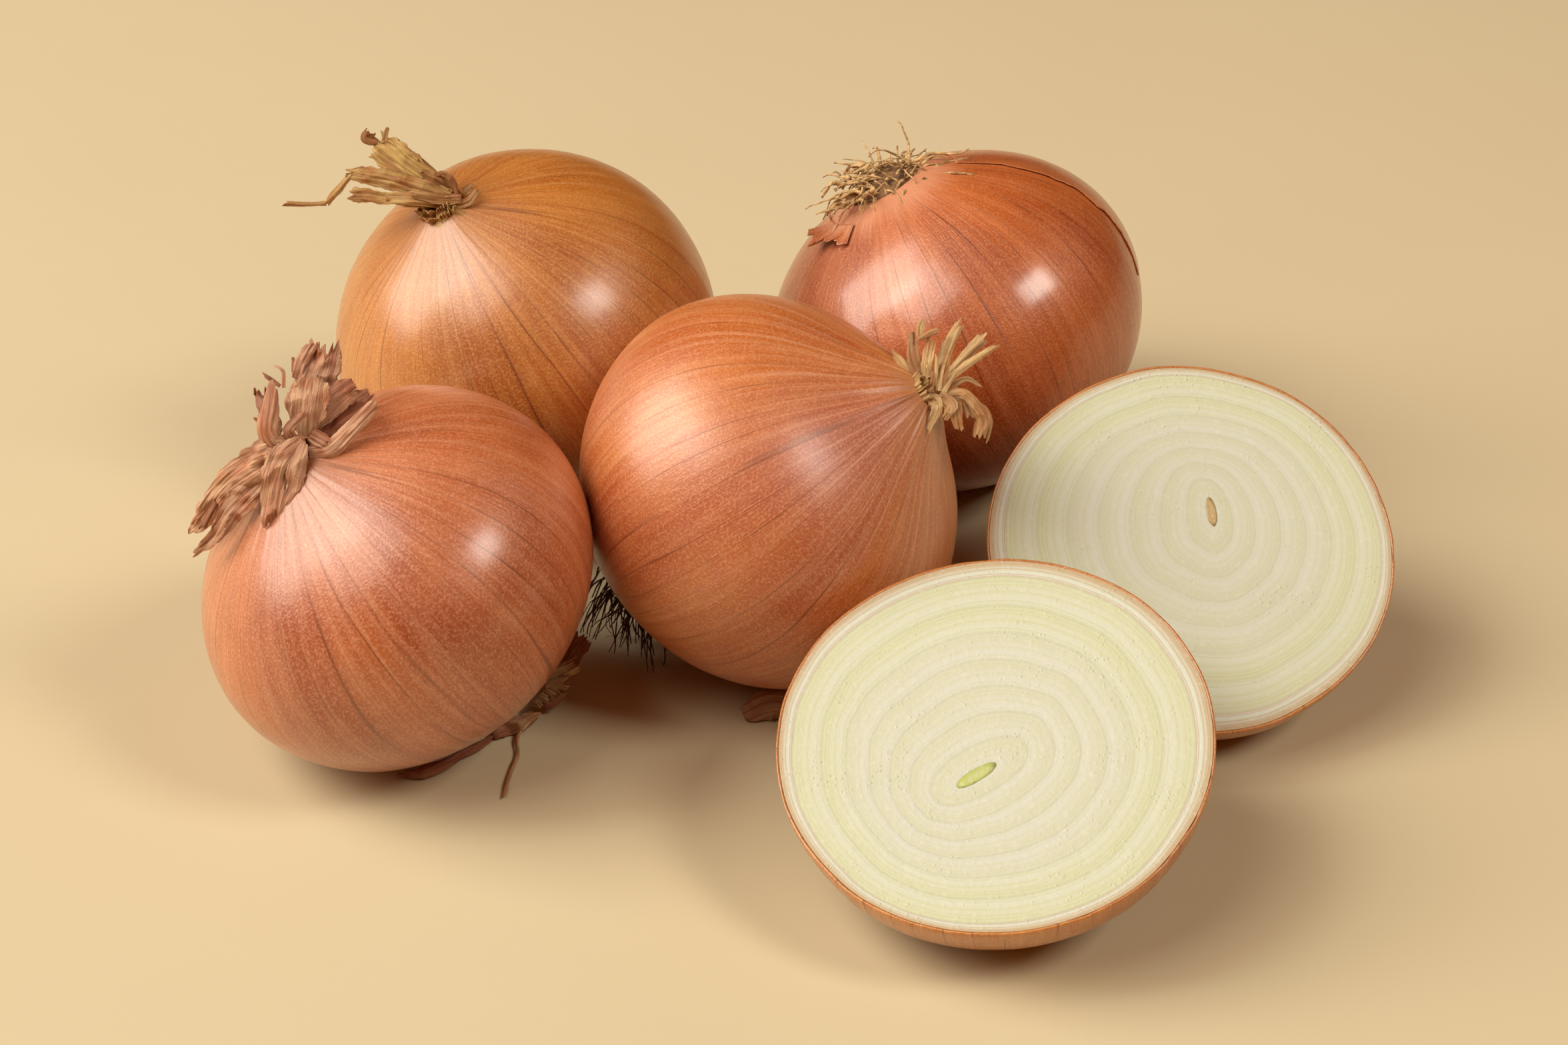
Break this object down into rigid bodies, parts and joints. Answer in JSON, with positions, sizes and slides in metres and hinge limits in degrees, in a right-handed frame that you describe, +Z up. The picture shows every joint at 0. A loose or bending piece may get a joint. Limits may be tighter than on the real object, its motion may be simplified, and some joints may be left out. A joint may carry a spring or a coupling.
{
  "type": "large brown onions",
  "caption": "Large brown onions in papery skins beside one cut in two across its rings, lying together on a flat surface.",
  "frame": {"origin": "on the table, under the middle of the group's box", "axes": "+Z up; +X to the right, along the group's longest side; +Y to the back, away from the cut faces"},
  "size_m": [0.2594, 0.2442, 0.099],
  "materials": {
    "back_left_skin": null,
    "back_right_skin": null,
    "center_skin": null,
    "front_left_skin": null,
    "half_skin": null,
    "cut_flesh": null,
    "green_shoot": null,
    "dry_neck_leaves": null,
    "dry_roots": null,
    "loose_dry_skin": null
  },
  "bodies": {
    "root": {"back_half_neck": "dry_neck_leaves", "back_half_scale_1": "cut_flesh", "back_half_scale_2": "cut_flesh", "back_half_scale_3": "cut_flesh", "back_half_scale_4": "cut_flesh", "back_half_scale_5": "cut_flesh", "back_half_scale_6": "cut_flesh", "back_half_scale_7": "cut_flesh", "back_half_scale_8": "cut_flesh", "back_half_shoot": "green_shoot", "back_half_skin": "half_skin", "back_left_bulb": "back_left_skin", "back_left_neck": "dry_neck_leaves", "back_left_roots": "dry_roots", "back_right_bulb": "back_right_skin", "back_right_neck": "dry_neck_leaves", "back_right_roots": "dry_roots", "back_right_torn_skin": "loose_dry_skin", "center_bulb": "center_skin", "center_neck": "dry_neck_leaves", "center_roots": "dry_roots", "front_half_roots": "dry_roots", "front_half_scale_1": "cut_flesh", "front_half_scale_2": "cut_flesh", "front_half_scale_3": "cut_flesh", "front_half_scale_4": "cut_flesh", "front_half_scale_5": "cut_flesh", "front_half_scale_6": "cut_flesh", "front_half_scale_7": "cut_flesh", "front_half_scale_8": "cut_flesh", "front_half_shoot": "green_shoot", "front_half_skin": "half_skin", "front_left_bulb": "front_left_skin", "front_left_loose_skin": "loose_dry_skin", "front_left_neck": "dry_neck_leaves", "front_left_roots": "dry_roots", "loose_flake": "loose_dry_skin"}
  },
  "joints": []
}
